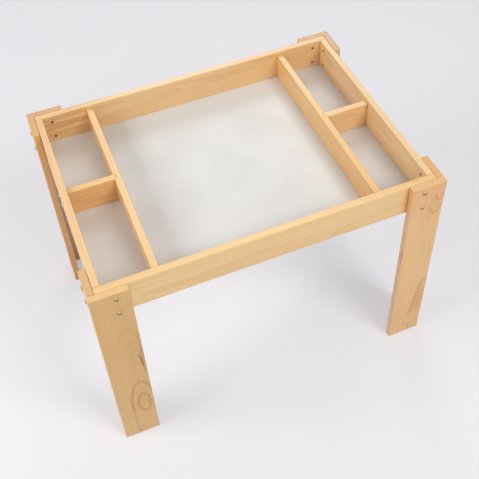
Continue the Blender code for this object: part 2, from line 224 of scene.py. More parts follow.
def finish_surface(piece):
    """Weld what the cuts left on top of each other, and shade rounded edges smooth and broad faces flat."""
    begin()
    piece.select_set(True)
    bpy.context.view_layer.objects.active = piece
    bpy.ops.object.mode_set(mode="EDIT")
    bpy.ops.mesh.select_mode(type="VERT")
    bpy.ops.mesh.select_all(action="SELECT")
    bpy.ops.mesh.remove_doubles(threshold=WELD)
    bpy.ops.mesh.dissolve_degenerate(threshold=WELD)
    bpy.ops.object.mode_set(mode="OBJECT")
    bpy.ops.object.shade_smooth_by_angle(angle=SMOOTH_BELOW)
    modifier = piece.modifiers.new("broad_faces", "WEIGHTED_NORMAL")
    modifier.keep_sharp = True
    bpy.ops.object.modifier_apply(modifier=modifier.name)


def hand_over(piece, node_name, material):
    """Name a finished piece after the CAD node that it stands for, and give it its material."""
    piece.name = f"{node_name}_piece"
    piece.data.name = piece.name
    piece.data.materials.clear()
    piece.data.materials.append(material)
    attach(piece, "root")
    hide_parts(node_name)


def nodes_like(pattern):
    return sorted(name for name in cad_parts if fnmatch(name, pattern))


def long_axis(node_name):
    """The axis that a fastener runs along, and the way its head points on it."""
    low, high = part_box(node_name)
    sides = high - low
    axis = max(range(3), key=lambda index: sides[index])
    middle = (low + high) / 2
    outward = -1 if axis == 2 or middle[axis] < 0 else 1
    return axis, outward


def rod_along(node_name, radius, start=None, end=None):
    """A cutter along a fastener, as long as the fastener and a little more unless it is given ends."""
    low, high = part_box(node_name)
    axis, _ = long_axis(node_name)
    start = low[axis] - OVERCUT if start is None else start
    end = high[axis] + OVERCUT if end is None else end
    return add_rod(axis, (low + high) / 2, radius, start, end)


def eased_board(node_name, cutters, radius):
    """A board at its CAD node's place, with sanded edges and with its holes and grooves cut."""
    low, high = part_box(node_name)
    board = add_block(low, high)
    bpy.ops.object.mode_set(mode="EDIT")
    bpy.ops.mesh.select_all(action="SELECT")
    bpy.ops.mesh.bevel(offset=radius, segments=settings().pine.edge_segments, affect="EDGES")
    bpy.ops.object.mode_set(mode="OBJECT")
    combine(board, cutters)
    finish_surface(board)
    return board


# Shader graphs

class Graph:
    """Adds nodes to one node tree, with values or other nodes' outputs as their inputs."""

    def __init__(self, tree):
        self.tree = tree

    def set(self, socket, value):
        if isinstance(value, bpy.types.NodeSocket):
            self.tree.links.new(value, socket)
        else:
            socket.default_value = value

    def node(self, kind, inputs=None, **attributes):
        node = self.tree.nodes.new(kind)
        for name, value in attributes.items():
            setattr(node, name, value)
        for name, value in (inputs or {}).items():
            self.set(node.inputs[name], value)
        return node

    def group(self, name, inputs):
        """The outputs of a node group, which is built where it is first used."""
        tree = bpy.data.node_groups.get(name) or GROUP_MAKERS[name](name)
        return self.node("ShaderNodeGroup", inputs, node_tree=tree).outputs

    def math(self, operation, *values, clamp=False):
        return self.node("ShaderNodeMath", dict(enumerate(values)), operation=operation,
                         use_clamp=clamp).outputs[0]

    def vector(self, operation, *values):
        node = self.node("ShaderNodeVectorMath", dict(enumerate(values)), operation=operation)
        return node.outputs["Value" if operation in ("DOT_PRODUCT", "LENGTH") else "Vector"]

    def part(self, vector, axis):
        """A vector's part along an axis, 0 for X."""
        return self.node("ShaderNodeSeparateXYZ", {"Vector": vector}).outputs[axis]

    def times(self, first, second):
        return self.math("MULTIPLY", first, second)

    def sum(self, *values):
        """The sum of some values, which is 0 where there are none."""
        total = values[0] if values else 0.0
        for value in values[1:]:
            total = self.math("ADD", total, value)
        return total

    def weighed(self, *pairs):
        """The sum of some values, each times its weight."""
        return self.sum(*(self.times(value, weight) for value, weight in pairs))

    def noise(self, vector, stretch, detail=2.0, roughness=0.5):
        """Noise about 0, drawn out by its number of waves per metre along each axis."""
        scaled = self.vector("MULTIPLY", vector, stretch)
        node = self.node("ShaderNodeTexNoise", {"Vector": scaled, "Scale": 1.0, "Detail": detail,
                                                "Roughness": roughness})
        return self.math("SUBTRACT", node.outputs["Fac"], 0.5)

    def step(self, value, low, high, out_low=0.0, out_high=1.0):
        """A smooth step of a value between two limits."""
        return self.node("ShaderNodeMapRange", {"Value": value, "From Min": low, "From Max": high,
                                                "To Min": out_low, "To Max": out_high},
                         interpolation_type="SMOOTHSTEP").outputs["Result"]

    def mix(self, share, first, second, blend="MIX"):
        node = self.node("ShaderNodeMix", {"Factor": share}, data_type="RGBA", blend_type=blend)
        self.set(node.inputs[6], first)
        self.set(node.inputs[7], second)
        return node.outputs[2]


def new_group(name, inputs, outputs):
    """A shader node group with named sockets of each kind, as its graph, its inputs and its outputs."""
    tree = bpy.data.node_groups.new(name, "ShaderNodeTree")
    for way, kinds in (("INPUT", inputs), ("OUTPUT", outputs)):
        for kind, labels in kinds.items():
            for label in labels:
                tree.interface.new_socket(label, in_out=way, socket_type=f"NodeSocket{kind}")
    graph = Graph(tree)
    return graph, graph.node("NodeGroupInput").outputs, graph.node("NodeGroupOutput").inputs


def spot_group(name):
    """A soft spot of a given reach, which strengthens the rings, warms the wood, marks it or paints shade
    into it.
    """
    graph, given, out = new_group(
        name, {"Vector": ["Vector", "Middle", "Reach"], "Float": ["Amount"]}, {"Float": ["Value"]})
    away = graph.vector("DIVIDE", graph.vector("SUBTRACT", given["Vector"], given["Middle"]), given["Reach"])
    fade = graph.math("EXPONENT", graph.times(graph.vector("DOT_PRODUCT", away, away), -1.0))
    graph.set(out["Value"], graph.times(fade, given["Amount"]))
    return graph.tree


# How far along its reach, as a share, a cut arc fades in
ARC_FADE = 0.3


def arc_group(name):
    """An even line round an oval, or round its upper end alone, as a ring shows where a board grazes it."""
    graph, given, out = new_group(
        name, {"Vector": ["Vector", "Middle", "Reach"], "Float": ["Width", "Cut", "Amount"]},
        {"Float": ["Value"]})
    away = graph.vector("DIVIDE", graph.vector("SUBTRACT", given["Vector"], given["Middle"]), given["Reach"])
    level = graph.vector("LENGTH", away)
    slope = graph.vector("LENGTH", graph.vector("DIVIDE", away, given["Reach"]))
    distance = graph.math("DIVIDE", graph.times(level, graph.math("SUBTRACT", level, 1.0)), slope)
    near = graph.math("DIVIDE", distance, given["Width"])
    line = graph.math("EXPONENT", graph.times(graph.times(near, near), -1.0))
    upper = graph.step(graph.part(away, 0), given["Cut"], graph.math("ADD", given["Cut"], ARC_FADE))
    graph.set(out["Value"], graph.times(graph.times(line, upper), given["Amount"]))
    return graph.tree


# Waves per metre of each noise in the wood along, through and across a board
BROAD_WAVES = (3, 9, 9)
FINE_WAVES = (13, 55, 55)
STREAK_WAVES = (5, 150, 150)
FIBRE_WAVES = (30, 1400, 1400)
CLOUD_WAVES = (3, 16, 16)
BLUSH_WAVES = (2.5, 11, 11)

# How far the blush's noise lies from the others
BLUSH_SHIFT = (3.1, 7.7, 2.3)

# Size of the rings' fine wander, how unlike their widths are, in rings, and how often that turns
FINE_WANDER = 2.4 * MM
UNEVENNESS = 1.6
UNEVEN_WAVES = 0.55

# Where in a ring its dark wood starts and ends, how late it darkens, and the faintest ring's strength
LATE_START = 0.15
LATE_END = 0.94
LATE_CURVE = 1.7
FAINTEST_RING = 0.5


def ring_group(name):
    """Growth rings round a pith that runs along X, seen wherever a board cuts them."""
    graph, given, out = new_group(
        name, {"Vector": ["Vector", "Seed", "Lean"], "Float": ["Spacing", "Wander"]},
        {"Float": ["Late Wood"]})
    along = graph.part(given["Vector"], 0)
    drift = graph.vector("MULTIPLY", given["Lean"],
                         graph.node("ShaderNodeCombineXYZ", {"Y": along, "Z": along}).outputs["Vector"])
    across = graph.vector("MULTIPLY", graph.vector("ADD", given["Vector"], drift), (0, 1, 1))
    place = graph.vector("ADD", given["Vector"], given["Seed"])
    broad = graph.times(graph.noise(place, BROAD_WAVES, detail=1), given["Wander"])
    fine = graph.times(graph.noise(place, FINE_WAVES), FINE_WANDER)
    radius = graph.sum(graph.vector("LENGTH", across), broad, fine)
    count = graph.math("DIVIDE", radius, given["Spacing"])
    uneven = graph.node("ShaderNodeTexNoise", {"W": count, "Scale": UNEVEN_WAVES, "Detail": 1.0},
                        noise_dimensions="1D").outputs["Fac"]
    count = graph.math("ADD", count, graph.times(uneven, UNEVENNESS))
    share = graph.math("FRACT", count)
    rise = graph.math("POWER", graph.step(share, LATE_START, LATE_END), LATE_CURVE)
    fall = graph.step(share, LATE_END, 1.0, 1.0, 0.0)
    tone = graph.node("ShaderNodeTexWhiteNoise", {"W": graph.math("FLOOR", count)},
                      noise_dimensions="1D").outputs["Value"]
    strength = graph.node("ShaderNodeMapRange", {"Value": tone, "To Min": FAINTEST_RING}).outputs[0]
    graph.set(out["Late Wood"], graph.times(graph.times(rise, fall), strength))
    return graph.tree


# How dark the plain wood is, and how strongly streaks, clouds and fibres show in it
PLAIN_TONE = 0.10
STREAK_TONE = 0.30
CLOUD_TONE = 0.34
FIBRE_TONE = 0.14

# The most that a sawn end's colour and a mark's colour cover
END_SHARE = 0.75
MARK_SHARE = 0.9

PLANED_ROUGHNESS = 0.40
FINISH_WEIGHT = 0.8


def pine_group(name):
    """Colour, roughness, finish and relief of planed pine, from its ring lines, figures and marks, the marks
    including painted shade.
    """
    graph, given, out = new_group(
        name, {"Vector": ["Vector", "Seed"], "Float": ["Late Wood", "Contrast", "Figure", "Mark", "End"],
               "Color": ["Early Colour", "Late Colour", "Blush Colour", "Line Colour", "End Colour",
                         "Mark Colour"]},
        {"Color": ["Color"], "Float": ["Roughness", "Coat", "Height"]})
    place = graph.vector("ADD", given["Vector"], given["Seed"])
    streak = graph.noise(place, STREAK_WAVES, detail=3, roughness=0.6)
    fibre = graph.noise(place, FIBRE_WAVES, detail=2, roughness=0.6)
    cloud = graph.noise(place, CLOUD_WAVES)
    rose = graph.noise(graph.vector("ADD", place, BLUSH_SHIFT), BLUSH_WAVES, detail=1)
    tone = graph.weighed((given["Late Wood"], given["Contrast"]), (streak, STREAK_TONE), (cloud, CLOUD_TONE))
    late = graph.math("ADD", tone, PLAIN_TONE, clamp=True)
    wood = graph.mix(graph.step(rose, -0.12, 0.22), given["Early Colour"], given["Blush Colour"])
    wood = graph.mix(late, wood, given["Late Colour"])
    wood = graph.mix(graph.math("MINIMUM", given["Figure"], 1.0), wood, given["Line Colour"])
    grey = graph.math("ADD", graph.times(fibre, FIBRE_TONE), 1.0)
    fibres = graph.node("ShaderNodeCombineColor", {0: grey, 1: grey, 2: grey}).outputs[0]
    wood = graph.mix(1.0, wood, fibres, blend="MULTIPLY")
    wood = graph.mix(graph.times(given["End"], END_SHARE), wood, given["End Colour"])
    # Marks darken the wood with resin and cracks, and with painted shade in nuts' recesses; they also take
    # the coat and sink the relief
    wood = graph.mix(graph.math("MINIMUM", given["Mark"], MARK_SHARE), wood, given["Mark Colour"])
    graph.set(out["Color"], wood)
    texture = graph.weighed((late, -0.06), (fibre, 0.10), (cloud, 0.12), (given["End"], 0.16))
    graph.set(out["Roughness"], graph.math("ADD", texture, PLANED_ROUGHNESS))
    graph.set(out["Coat"], graph.math("SUBTRACT", FINISH_WEIGHT, given["Mark"], clamp=True))
    graph.set(out["Height"], graph.weighed((fibre, 0.7), (late, 0.4), (given["Mark"], -0.8)))
    return graph.tree


# Waves per metre of the plating's dull patches and grit, and its roughness where it is bright
PATCH_WAVES = (330, 330, 330)
GRIT_WAVES = (2600, 2600, 2600)
BRIGHT_ROUGHNESS = 0.54


def plating_group(name):
    """Colour, roughness and relief of zinc plating, dulled in patches."""
    graph, given, out = new_group(
        name, {"Vector": ["Vector"], "Color": ["Bright", "Dull"]},
        {"Color": ["Color"], "Float": ["Roughness", "Height"]})
    patch = graph.noise(given["Vector"], PATCH_WAVES, detail=3)
    grit = graph.noise(given["Vector"], GRIT_WAVES)
    dulled = graph.step(patch, -0.18, 0.20)
    graph.set(out["Color"], graph.mix(dulled, given["Bright"], given["Dull"]))
    texture = graph.weighed((dulled, 0.10), (grit, 0.10))
    graph.set(out["Roughness"], graph.math("ADD", texture, BRIGHT_ROUGHNESS))
    graph.set(out["Height"], grit)
    return graph.tree


GROUP_MAKERS = {"Soft Spot": spot_group, "Ring Arc": arc_group, "Growth Rings": ring_group,
                "Planed Pine": pine_group, "Zinc Plating": plating_group}


def cleared_graph(owner):
    """The empty graph of a material or a world."""
    owner.use_nodes = True
    owner.node_tree.nodes.clear()
    return Graph(owner.node_tree)


def new_material(name):
    """A material with one Principled shader, as the material, its graph and the shader."""
    material = bpy.data.materials.new(name)
    graph = cleared_graph(material)
    shader = graph.node("ShaderNodeBsdfPrincipled")
    graph.node("ShaderNodeOutputMaterial", {"Surface": shader.outputs[0]})
    return material, graph, shader


def give_surface(graph, shader, colour, roughness, height, strength, depth):
    """Give a shader its colour, its roughness and a relief."""
    bump = graph.node("ShaderNodeBump", {"Height": height, "Strength": strength, "Distance": depth})
    graph.set(shader.inputs["Base Color"], colour)
    graph.set(shader.inputs["Roughness"], roughness)
    graph.set(shader.inputs["Normal"], bump.outputs["Normal"])


# Turns of the Mapping node that lay a board's length along the log's X
TURNS = {"X": (0, 0, 0), "Y": (0, 0, math.radians(-90)), "Z": (0, math.radians(90), 0)}

# Brown of resin streaks and small cracks, and of the painted shade and raw wood in the nuts' recesses
RESIN_AND_SHADE = (0.15, 0.045, 0.004, 1)

# Reach of that painted shade and raw wood's tone from a nut's middle, in millimetres, and its strength
RECESS_SHADE_REACH = (8, 2.6, 8)
RECESS_SHADE_TONE = 6

# Step from one board's place in the noises to the next one's
SEED_STEP = Vector((1.7, 0.9, 0.4))

# How nearly a face looks along the grain where a sawn end starts to show, and where it fully shows
SAWN_END = (0.5, 0.9)

# Waves per metre of the ring arcs' sway, and how far it goes along, through and across a board
ARC_WAVES = 45.0
ARC_SWAY = (8 * MM, 0, 4 * MM)

FINISH_ROUGHNESS = 0.28


class Spot(NamedTuple):
    """A place on a board in millimetres: its middle, and its reach along, through and across the board."""

    middle: tuple
    reach: tuple
    amount: float


class Arc(NamedTuple):
    """An oval ring line in millimetres, with a middle and a reach as a spot's. It is cut below a share of its
    reach, and at -2 it is whole."""

    middle: tuple
    reach: tuple
    cut: float
    amount: float
    width: float


class Sawn(NamedTuple):
    """How a board was sawn, in millimetres: the axis of its grain, where its pith lies and how it leans, how
    its rings run, and what stands out: bold rings, marks, clear ring lines, warm wood, and painted shade in
    the nuts' recesses."""

    axis: str
    pith: tuple
    lean: tuple
    wander: float
    tint: tuple
    contrast: float = 0.45
    spacing: float = 6
    end_tint: tuple = (0.87, 0.77, 0.73)
    bold: tuple = ()
    marks: tuple = ()
    arcs: tuple = ()
    warm: tuple = ()
    # Nuts whose recesses get painted shade on this board
    nuts: str = ""


BOARDS = {
    "front_rail": Sawn(
        "X", (-58, 20), (0.016, 0.022), 16, (0.98, 0.965, 0.86), 0.34, nuts="nut_front_*_face_*",
        marks=(Spot((76, -266, 524), (1.6, 6, 10), 0.12), Spot((79, -266, 512), (1.4, 6, 7), 0.08))),
    "back_rail": Sawn(
        "X", (46, -12), (0.03, -0.02), 15, (0.98, 0.99, 1.0), 0.32, nuts="nut_back_*_face_*",
        bold=(Spot((-290, 251, 505), (75, 60, 60), 0.75), Spot((290, 251, 500), (60, 60, 60), -0.2))),
    "left_end_rail": Sawn(
        "Y", (40, 22), (0.012, 0.008), 9, (0.97, 0.94, 0.9), 0.3, nuts="nut_*_left_side_*"),
    "right_end_rail": Sawn(
        "Y", (52, -8), (-0.025, 0.02), 12, (1.04, 1.07, 1.16), 0.34, nuts="nut_*_right_side_*"),
    "left_long_divider": Sawn("Y", (-44, 10), (0.02, 0.015), 10, (0.99, 0.94, 0.87), 0.32),
    "right_long_divider": Sawn("Y", (60, 16), (0.015, -0.012), 10, (0.98, 0.86, 0.64), 0.32),
    "left_cross_divider": Sawn(
        "X", (30, 8), (0.02, 0.08), 8, (1.0, 0.94, 0.8), 0.28,
        bold=(Spot((-296, 11, 492), (70, 7, 24), 0.65),)),
    "right_cross_divider": Sawn("X", (38, -14), (0.03, 0.03), 9, (1.04, 1.04, 1.0), 0.38),
    "leg_front_left_face": Sawn(
        "Z", (52, 12), (0.006, 0.0), 6, (0.8, 0.735, 0.47), 0.12, spacing=11, end_tint=(1, 0.97, 0.98),
        bold=(Spot((-316, -281, 330), (130, 60, 24), 0.25),),
        arcs=(Arc((-321, -281, 126), (35.4, 60, 13.2), -2, 0.85, 3.0),
              Arc((-323, -281, 115), (98, 60, 25.4), -0.3, 0.85, 3.3),
              Arc((-323, -281, 115), (-260, 60, 25.4), -0.3, 0.5, 3.0),
              Arc((-326, -281, 250), (166, 60, 30), 0.6, 0.36, 3.0),
              *(Arc((-317, -281, 112 + 27 * number), (120, 60, 18), 0.66, 0.42, 2.0) for number in range(6))),
        warm=(Spot((-320, -281, 145), (50, 60, 14), 0.34), Spot((-322, -281, 60), (45, 60, 12), 0.12),
              Spot((-303, -281, 320), (65, 60, 4.5), 0.85)),
        marks=(Spot((-310, -281, 308), (12, 6, 0.9), 0.9), Spot((-308, -281, 291), (12, 6, 1.1), 1.3),
               Spot((-306.6, -281, 276), (11, 6, 1.0), 1.2), Spot((-305, -281, 254), (14, 6, 0.9), 0.5))),
    "leg_front_left_side": Sawn(
        "Z", (22, 48), (0.01, 0.02), 6, (0.88, 0.8, 0.68), end_tint=(0.82, 0.72, 0.67)),
    "leg_front_right_face": Sawn(
        "Z", (48, -22), (0.014, 0.01), 6, (0.92, 0.81, 0.64), 0.16, end_tint=(0.94, 0.9, 0.92),
        bold=(Spot((366, -281, 522), (9, 60, 6), 0.35),),
        arcs=(*(Arc((372, -281, 178 - 19 * number), (26 + 3 * number, 13, 11 + 3 * number), 0.2, 0.72, 3.2)
                for number in range(8)),
              Arc((361, -281, 470), (-27, 16, 11.5), 0.0, 0.75, 3.2),
              Arc((367, -281, 505), (-21, 16, 8.5), 0.0, 0.65, 3.2)),
        warm=(Spot((369, -281, 115), (75, 14, 16), 0.3), Spot((361, -281, 475), (24, 14, 10), 0.18)),
        marks=(Spot((299, -279, 322), (19, 5, 3), 0.4), Spot((350.3, -281, 18), (12, 5, 1.4), 0.72),
               Spot((339, -281, 35), (14, 5, 1.1), 0.45), Spot((341, -281, 450), (24, 5, 0.6), 0.4),
               Spot((346, -281, 455), (26, 5, 0.6), 0.4))),
    "leg_front_right_side": Sawn(
        "Z", (12, 52), (0.01, -0.02), 6, (0.96, 0.88, 0.76), end_tint=(0.88, 0.75, 0.54)),
    # This board's darker, warmer tint is partly its own tone and partly painted shade, for the shade under
    # the tray on its front face
    "leg_back_left_face": Sawn(
        "Z", (44, 8), (0.03, 0.01), 7, (0.84, 0.72, 0.58), end_tint=(0.82, 0.7, 0.64)),
    "leg_back_left_side": Sawn("Z", (-16, 40), (0.01, 0.03), 6, (0.87, 0.66, 0.42)),
    "leg_back_right_face": Sawn(
        "Z", (38, -16), (-0.04, 0.01), 7, (0.9, 0.89, 0.9), end_tint=(0.78, 0.65, 0.57)),
    "leg_back_right_side": Sawn(
        "Z", (-10, 46), (0.01, 0.02), 6, (0.87, 0.9, 0.96), end_tint=(0.74, 0.69, 0.68)),
}


def recess_shade_spots(pattern):
    """Painted shade, with raw, darker wood, deep in the recesses round some nuts."""
    boxes = [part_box(name) for name in nodes_like(pattern)]
    return tuple(Spot((low + high) / 2 / MM, RECESS_SHADE_REACH, RECESS_SHADE_TONE) for low, high in boxes)


def spot_values(graph, place, in_log, spots):
    """What each of some spots on a board adds at a place."""
    return [graph.group("Soft Spot", {"Vector": place, "Middle": in_log(spot.middle),
                                      "Reach": Vector(spot.reach) * MM, "Amount": spot.amount})[0]
            for spot in spots]


def arc_values(graph, place, in_log, arcs):
    """What each of some ring arcs on a board, a little wavy, adds at a place."""
    if not arcs:
        return []
    noise = graph.node("ShaderNodeTexNoise", {"Vector": place, "Scale": ARC_WAVES, "Detail": 1.0})
    sway = graph.vector("SUBTRACT", noise.outputs["Color"], (0.5, 0.5, 0.5))
    wavy = graph.vector("ADD", place, graph.vector("MULTIPLY", sway, ARC_SWAY))
    return [graph.group("Ring Arc", {"Vector": wavy, "Middle": in_log(arc.middle),
                                     "Reach": Vector(arc.reach) * MM, "Width": arc.width * MM,
                                     "Cut": arc.cut, "Amount": arc.amount})[0]
            for arc in arcs]


def tinted(colour, tint):
    return (*(value * share for value, share in zip(colour, tint)), 1)


def pine_material(node_name):
    """Pine for one board, with rings round its own pith, its figures and its sawn ends."""
    sawn = BOARDS[node_name]
    pine = settings().pine
    low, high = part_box(node_name)
    turn = Euler(TURNS[sawn.axis]).to_matrix()
    shift = Vector((0, *sawn.pith)) * MM - turn @ ((low + high) / 2)
    seed = SEED_STEP * (1 + sorted(BOARDS).index(node_name))

    def in_log(point):
        """A point in millimetres, laid in the log, whose pith runs along X."""
        return turn @ (Vector(point) * MM) + shift

    material, graph, shader = new_material(f"{node_name}_pine")
    texture = graph.node("ShaderNodeTexCoord").outputs["Object"]
    place = graph.node("ShaderNodeMapping", {"Vector": texture, "Rotation": TURNS[sawn.axis],
                                             "Location": shift}).outputs["Vector"]
    bold = spot_values(graph, place, in_log, sawn.bold)
    # The marks hold the board's resin streaks and cracks, and painted shade in its nuts' recesses
    marks = spot_values(graph, place, in_log, sawn.marks + recess_shade_spots(sawn.nuts))
    figures = arc_values(graph, place, in_log, sawn.arcs) + spot_values(graph, place, in_log, sawn.warm)
    rings = graph.group("Growth Rings", {"Vector": place, "Seed": seed, "Lean": (0, *sawn.lean),
                                         "Spacing": sawn.spacing * MM, "Wander": sawn.wander * MM})
    grain = tuple(float(letter == sawn.axis) for letter in "XYZ")
    normal = graph.node("ShaderNodeNewGeometry").outputs["Normal"]
    facing = graph.math("ABSOLUTE", graph.vector("DOT_PRODUCT", normal, grain))
    wood = graph.group("Planed Pine", {
        "Vector": place,
        "Seed": seed,
        "Late Wood": rings["Late Wood"],
        "Contrast": graph.sum(*bold, sawn.contrast),
        "Figure": graph.sum(*figures),
        "Mark": graph.sum(*marks),
        "End": graph.step(facing, *SAWN_END),
        "Early Colour": tinted(pine.early_wood, sawn.tint),
        "Late Colour": tinted(pine.late_wood, sawn.tint),
        "Blush Colour": tinted(pine.blush, sawn.tint),
        "Line Colour": tinted(pine.ring_line, sawn.tint),
        "End Colour": tinted(pine.end_grain, sawn.end_tint),
        "Mark Colour": RESIN_AND_SHADE,
    })
    give_surface(graph, shader, wood["Color"], wood["Roughness"], wood["Height"], 0.25, 0.15 * MM)
    graph.set(shader.inputs["Coat Weight"], wood["Coat"])
    shader.inputs["Coat Roughness"].default_value = FINISH_ROUGHNESS
    return material


# Waves per metre of the white facing's orange peel and rubbed patches, and its roughness elsewhere
PEEL_WAVES = (420, 420, 420)
RUB_WAVES = (7, 7, 7)
FACING_ROUGHNESS = 0.38


def facing_material():
    """Smooth white facing with a faint orange peel and faint rubbed patches."""
    panel = settings().panel
    material, graph, shader = new_material("white_facing")
    place = graph.node("ShaderNodeTexCoord").outputs["Object"]
    peel = graph.noise(place, PEEL_WAVES)
    rubbed = graph.step(graph.noise(place, RUB_WAVES, detail=3), -0.15, 0.2)
    colour = graph.mix(rubbed, (*panel.facing, 1), (*panel.scuffed, 1))
    roughness = graph.math("ADD", graph.times(rubbed, 0.12), FACING_ROUGHNESS)
    give_surface(graph, shader, colour, roughness, peel, 0.06, 0.2 * MM)
    return material


# Tints of dulled plating and of the painted shade on a bolt's inner end, and how softly that shade ends
DULLED = (0.68, 0.68, 0.66)
SHADE_TINT = (0.20, 0.17, 0.13)
SHADE_EDGE = 2 * MM


def plated_material(name, colour, shaded_end=None):
    """Zinc-plated steel, darkened by painted shade where it lies nearer the table's middle than a distance on
    an axis.
    """
    material, graph, shader = new_material(name)
    place = graph.node("ShaderNodeTexCoord").outputs["Object"]
    plating = graph.group("Zinc Plating", {"Vector": place, "Bright": (*colour, 1),
                                           "Dull": tinted(colour, DULLED)})
    shown = plating["Color"]
    if shaded_end:
        axis, distance = shaded_end
        away = graph.math("ABSOLUTE", graph.part(place, axis))
        unshaded = graph.step(away, distance - SHADE_EDGE, distance + SHADE_EDGE)
        shown = graph.mix(unshaded, tinted(colour, SHADE_TINT), shown)
    give_surface(graph, shader, shown, plating["Roughness"], plating["Height"], 0.15, 0.05 * MM)
    shader.inputs["Metallic"].default_value = 1.0
    return material


# Boards and the floor

REBATE_WIDTH = 8 * MM
HOUSING_DEPTH = 5 * MM
END_SCREW_RADIUS = 2 * MM
PANEL_SCREW_RADIUS = 1.5 * MM

# Depth and widest radius of the cones for the panel screws' heads
SINK_DEPTH = 1.5 * MM
SINK_RADIUS = 3.2 * MM


def bores(pattern, radius):
    return [rod_along(name, radius + FIT_GAP) for name in nodes_like(pattern)]


def bolt_bores(pattern):
    return bores(pattern, settings().fasteners.bolt_shank / 2)


def nut_recesses(pattern, inner):
    """Round recesses on a rail's inner face, one round each nut."""
    fasteners = settings().fasteners
    away = math.copysign(1, inner)
    return [rod_along(name, fasteners.nut_recess / 2, inner - away * OVERCUT,
                      inner + away * fasteners.recess_depth) for name in nodes_like(pattern)]


def rebate(low, high):
    """The step that the floor panel sits in, up to the dividers' lower edges."""
    panel_low, panel_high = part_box("floor_panel")
    return add_block((*low, panel_low.z - OVERCUT), (*high, panel_high.z + FIT_GAP))


def countersunk_hole(place, thickness):
    """A cutter for a panel screw's hole and the cone for its head, from a point on the panel's underside."""
    hole = PANEL_SCREW_RADIUS + FIT_GAP
    mouth = SINK_RADIUS + OVERCUT * (SINK_RADIUS - hole) / SINK_DEPTH
    cutter = add_turned([(0, thickness + OVERCUT), (hole, thickness + OVERCUT), (hole, SINK_DEPTH),
                         (mouth, -OVERCUT), (0, -OVERCUT)])
    cutter.data.transform(Matrix.Translation(place))
    return cutter


def make_board(name, cutters):
    """One pine board with its holes and grooves, in its place."""
    board = eased_board(name, cutters, settings().pine.eased_edge)
    hand_over(board, name, pine_material(name))


class TABLE_OT_long_rails(bpy.types.Operator):
    """Make the front and back rails, with housings for the dividers' ends and a rebate for the floor"""

    bl_idname = "sensory_table.long_rails"
    bl_label = "Long Rails"

    def execute(self, context):
        _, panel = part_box("floor_panel")
        for face, sign in (("front", -1), ("back", 1)):
            name = f"{face}_rail"
            low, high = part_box(name)
            inner = high.y if sign < 0 else low.y
            mouth = inner - sign * OVERCUT
            cutters = [rebate((-panel.x - FIT_GAP, mouth), (panel.x + FIT_GAP, inner + sign * REBATE_WIDTH))]
            for divider in nodes_like("*_long_divider"):
                left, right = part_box(divider)
                cutters.append(add_block(
                    (left.x - FIT_GAP, mouth, low.z),
                    (right.x + FIT_GAP, inner + sign * HOUSING_DEPTH, right.z + FIT_GAP)))
            cutters += bolt_bores(f"bolt_{face}_*_face_*") + nut_recesses(f"nut_{face}_*_face_*", inner)
            cutters += bores(f"panel_screw_{face}_rail", PANEL_SCREW_RADIUS)
            make_board(name, cutters)
        return {"FINISHED"}


class TABLE_OT_end_rails(bpy.types.Operator):
    """Make the end rails that stand between the long rails"""

    bl_idname = "sensory_table.end_rails"
    bl_label = "End Rails"

    def execute(self, context):
        for end, sign in (("left", -1), ("right", 1)):
            name = f"{end}_end_rail"
            low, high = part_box(name)
            inner = high.x if sign < 0 else low.x
            cutters = [rebate((inner - sign * OVERCUT, low.y - OVERCUT),
                              (inner + sign * REBATE_WIDTH, high.y + OVERCUT))]
            cutters += bolt_bores(f"bolt_*_{end}_side_*") + nut_recesses(f"nut_*_{end}_side_*", inner)
            cutters += bores(f"end_screw_{end}_*", END_SCREW_RADIUS)
            make_board(name, cutters)
        return {"FINISHED"}


class TABLE_OT_dividers(bpy.types.Operator):
    """Make the long dividers and the short ones that split the end bays"""

    bl_idname = "sensory_table.dividers"
    bl_label = "Dividers"

    def execute(self, context):
        for end, sign in (("left", -1), ("right", 1)):
            low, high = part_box(f"{end}_long_divider")
            cross_low, cross_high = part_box(f"{end}_cross_divider")
            bin_face = low.x if sign < 0 else high.x
            housing = add_block((bin_face - sign * HOUSING_DEPTH, cross_low.y - FIT_GAP, low.z - OVERCUT),
                                (bin_face + sign * OVERCUT, cross_high.y + FIT_GAP, high.z + OVERCUT))
            cutters = [housing] + bores(f"panel_screw_{end}_divider_*", PANEL_SCREW_RADIUS)
            make_board(f"{end}_long_divider", cutters)
            cutters = bores(f"end_screw_{end}_*", END_SCREW_RADIUS)
            make_board(f"{end}_cross_divider", cutters)
        return {"FINISHED"}


class TABLE_OT_legs(bpy.types.Operator):
    """Make the eight leg boards, two to each corner"""

    bl_idname = "sensory_table.legs"
    bl_label = "Legs"

    def execute(self, context):
        for name in nodes_like("leg_*"):
            make_board(name, bolt_bores(name.replace("leg_", "bolt_") + "_*"))
        return {"FINISHED"}


class TABLE_OT_floor_panel(bpy.types.Operator):
    """Make the tray's thin white floor"""

    bl_idname = "sensory_table.floor_panel"
    bl_label = "Floor Panel"

    def execute(self, context):
        low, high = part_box("floor_panel")
        cutters = []
        for name in nodes_like("panel_screw_*"):
            screw_low, screw_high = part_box(name)
            middle = (screw_low + screw_high) / 2
            cutters.append(countersunk_hole((middle.x, middle.y, low.z), high.z - low.z))
        sheet = eased_board("floor_panel", cutters, settings().panel.eased_edge)
        hand_over(sheet, "floor_panel", facing_material())
        return {"FINISHED"}


# Fasteners

# Steps of a domed head's outline, and half of a thread's flat crest as a share of its pitch
DOME_STEPS = 9
HALF_CREST = 0.05

# Turn from one copy of a fastener to the next about its own length
COPY_TURN = math.radians(37)

# Bolts: their heads' height, and their thread, whose crests stay a little inside the width
BOLT_HEAD_HEIGHT = 3.3 * MM
BOLT_THREAD_LENGTH = 12 * MM
BOLT_THREAD_DEPTH = 0.5 * MM
BOLT_PITCH = 1 * MM
BOLT_PLAY = 0.05 * MM
SOCKET_DEPTH = 2 * MM

